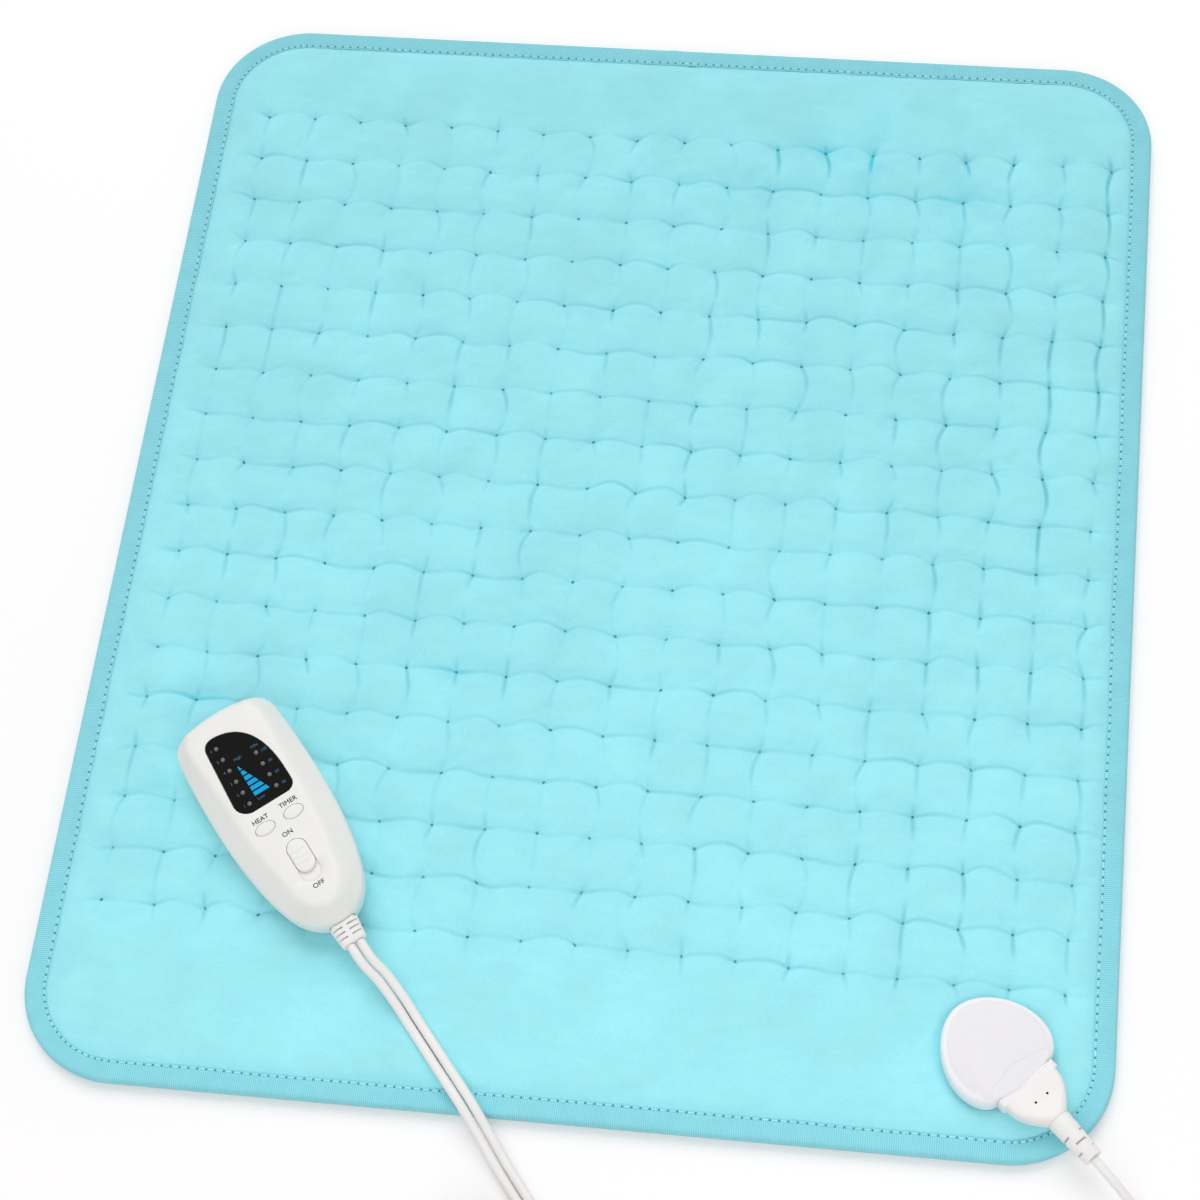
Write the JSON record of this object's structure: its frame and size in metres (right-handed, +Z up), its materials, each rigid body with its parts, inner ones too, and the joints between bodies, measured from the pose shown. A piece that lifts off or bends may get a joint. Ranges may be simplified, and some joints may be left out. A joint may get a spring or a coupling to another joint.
{
  "type": "heating pad with controller",
  "caption": "Quilted electric heating pad with bound edges, a corner socket and plug, and a hand controller with display lens, push buttons and a power slider on its leads.",
  "frame": {"origin": "middle of the pad's underside, on the floor it lies on", "axes": "+Y along the pad's longer side, away from its socket; +X towards the side with the socket; +Z up"},
  "size_m": [0.5295, 0.7379, 0.0374],
  "materials": {
    "plush": "short-pile plush",
    "binding": "ribbed woven tape",
    "felt": "needled felt",
    "wire": "insulated wire",
    "case": "fine satin moulding",
    "lens": "polished black lens",
    "socket": "semi-gloss moulding",
    "lead": "satin flexible vinyl",
    "board": "coated laminate",
    "part": "moulded component case",
    "lamp": "clear moulded lamp",
    "tin": "plated steel",
    "brass": "plain brass",
    "tie": "soft strap"
  },
  "bodies": {
    "pad": {"back_cover": "plush", "element_carrier": "felt", "heating_wire": "wire", "quilted_top": "plush", "edge_binding": "binding", "socket_cover": "socket", "socket_base": "socket", "terminal_board": "board", "contact_pin_left": "brass", "contact_pin_middle": "brass", "contact_pin_right": "brass", "socket_screw_left": "tin", "socket_screw_right": "tin"},
    "cable_set": {"plug_body": "lead", "plug_boot": "lead", "contact_sleeve_left": "brass", "contact_sleeve_middle": "brass", "contact_sleeve_right": "brass", "front_shell": "case", "rear_shell": "case", "display_lens": "lens", "heat_lamp_1": "lamp", "heat_lamp_2": "lamp", "heat_lamp_3": "lamp", "heat_lamp_4": "lamp", "heat_lamp_5": "lamp", "heat_lamp_6": "lamp", "timer_lamp_1": "lamp", "timer_lamp_2": "lamp", "timer_lamp_3": "lamp", "timer_lamp_4": "lamp", "heat_switch": "part", "timer_switch": "part", "slide_switch": "tin", "circuit_board": "board", "capacitor": "part", "fuse": "tin", "triac": "part", "control_chip": "part", "cord_clamp": "case", "strain_relief": "lead", "case_screw_1": "tin", "case_screw_2": "tin", "mains_lead": "lead", "mains_lead_coil": "lead", "mains_lead_end": "lead", "mains_lead_tie": "tie", "pad_lead": "lead", "pad_lead_coil": "lead", "pad_lead_end": "lead", "pad_lead_tie": "tie", "mains_plug": "lead", "mains_blade_left": "brass", "mains_blade_right": "brass"},
    "heat_button": {"heat_button": "case", "heat_plunger": "part"},
    "timer_button": {"timer_button": "case", "timer_plunger": "part"},
    "power_slider": {"power_slider": "case", "slide_lever": "part"}
  },
  "joints": [
    {"name": "connector_unplug", "type": "slide", "parent": "pad", "child": "cable_set", "axis": [0.7071, -0.7071, 0], "range_m": [0, 0.016]},
    {"name": "heat_press", "type": "slide", "parent": "cable_set", "child": "heat_button", "axis": [0.0549, 0.043, -0.9976], "range_m": [0, 0.0007], "stiffness_N_per_m": 600},
    {"name": "timer_press", "type": "slide", "parent": "cable_set", "child": "timer_button", "axis": [0.0549, 0.043, -0.9976], "range_m": [0, 0.0007], "stiffness_N_per_m": 600},
    {"name": "power_slide", "type": "slide", "parent": "cable_set", "child": "power_slider", "axis": [0.617, -0.7869, 0], "range_m": [0, 0.004]}
  ]
}
